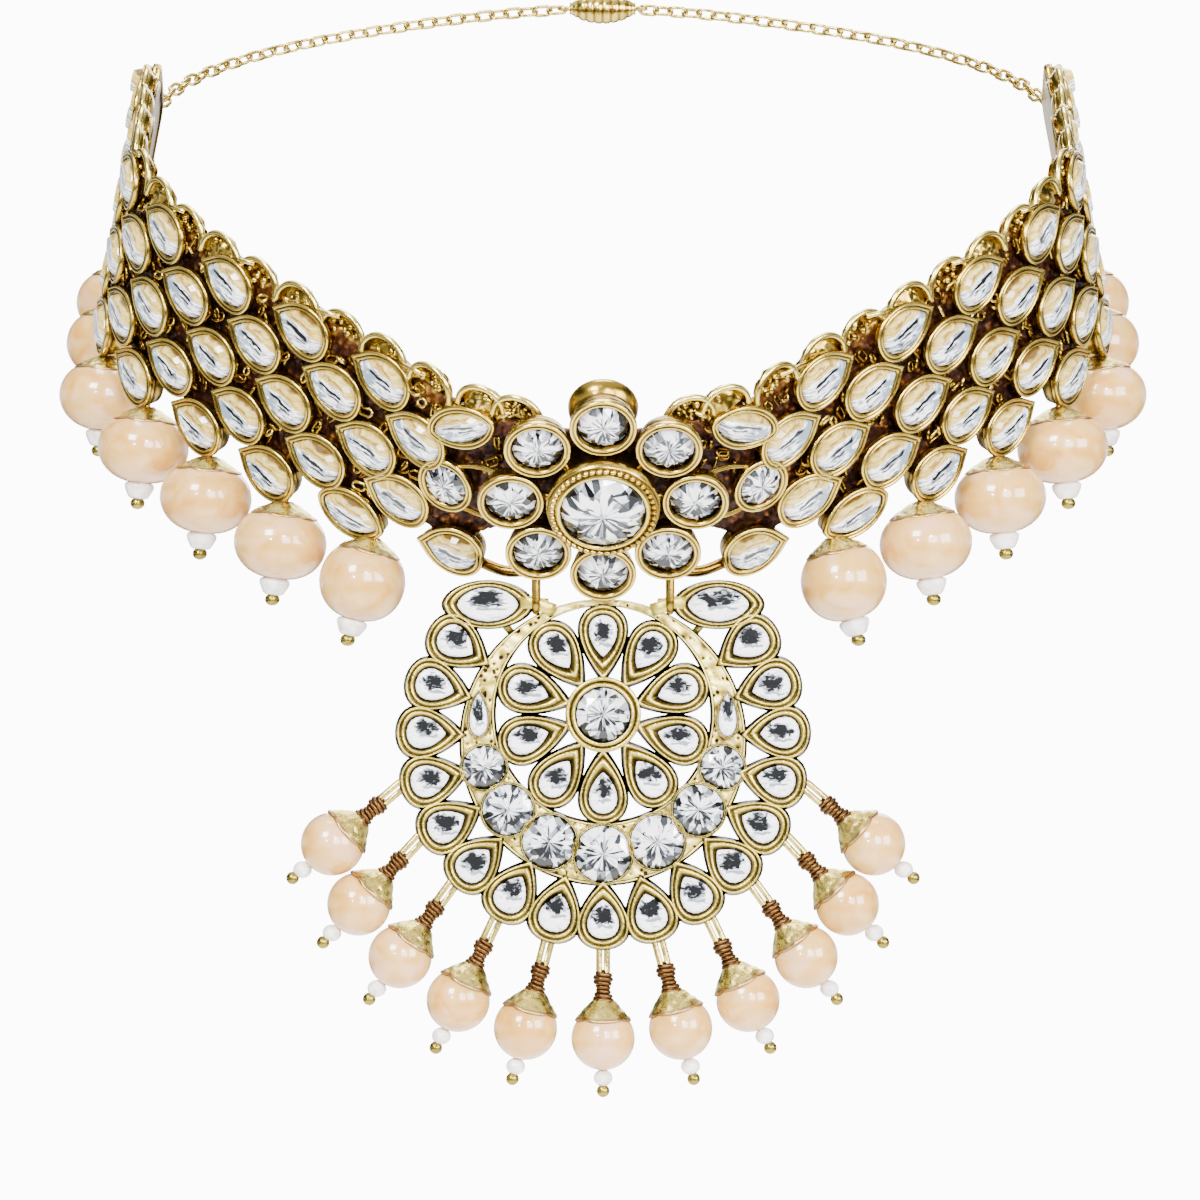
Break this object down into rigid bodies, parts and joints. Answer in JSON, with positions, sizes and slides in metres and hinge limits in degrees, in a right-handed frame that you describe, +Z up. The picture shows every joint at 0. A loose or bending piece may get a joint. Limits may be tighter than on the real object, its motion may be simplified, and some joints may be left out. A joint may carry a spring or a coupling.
{
  "type": "kundan necklace",
  "caption": "Collar necklace of staggered stone-set cups with a central stone flower, a round hinged pendant and pearl drops, worn round the neck.",
  "frame": {"origin": "middle of the neck opening, level with the widest part of the collar", "axes": "+Z up, -Y towards the front with the flower and the pendant, +X to the right of someone looking at the front"},
  "size_m": [0.1546, 0.1238, 0.1533],
  "materials": {
    "antique_gold": "antique gold plate over brass, dark in the recesses",
    "pale_gold": "pale gold plate, finely pitted, dark in the recesses",
    "foiled_glass": "clear cut glass backed with foil",
    "pearl": "peach pearl coating with a soft sheen"
  },
  "bodies": {
    "root": {"collar_left": "antique_gold", "collar_right": "antique_gold", "flower": "antique_gold", "flower_stone": "foiled_glass", "collar_drop_left_1": "pearl", "collar_drop_left_2": "pearl", "collar_drop_left_3": "pearl", "collar_drop_left_4": "pearl", "collar_drop_left_5": "pearl", "collar_drop_left_6": "pearl", "collar_drop_left_7": "pearl", "collar_drop_right_1": "pearl", "collar_drop_right_2": "pearl", "collar_drop_right_3": "pearl", "collar_drop_right_4": "pearl", "collar_drop_right_5": "pearl", "collar_drop_right_6": "pearl", "collar_drop_right_7": "pearl", "end_plate_left": "antique_gold", "chain_left": "antique_gold", "end_plate_right": "antique_gold", "chain_right": "antique_gold", "clasp": "antique_gold"},
    "pendant": {"pendant_frame": "pale_gold", "pendant_stone": "foiled_glass", "suspension_ring_left": "antique_gold", "suspension_ring_right": "antique_gold", "pendant_drop_1": "pearl", "pendant_drop_2": "pearl", "pendant_drop_3": "pearl", "pendant_drop_4": "pearl", "pendant_drop_5": "pearl", "pendant_drop_6": "pearl", "pendant_drop_7": "pearl", "pendant_drop_8": "pearl", "pendant_drop_9": "pearl", "pendant_drop_10": "pearl", "pendant_drop_11": "pearl"}
  },
  "joints": [
    {"name": "pendant_swing", "type": "hinge", "parent": "root", "child": "pendant", "pos_m": [0, -0.0395, -0.0457], "axis": [1, 0, 0], "range_deg": [-10, 38]}
  ]
}
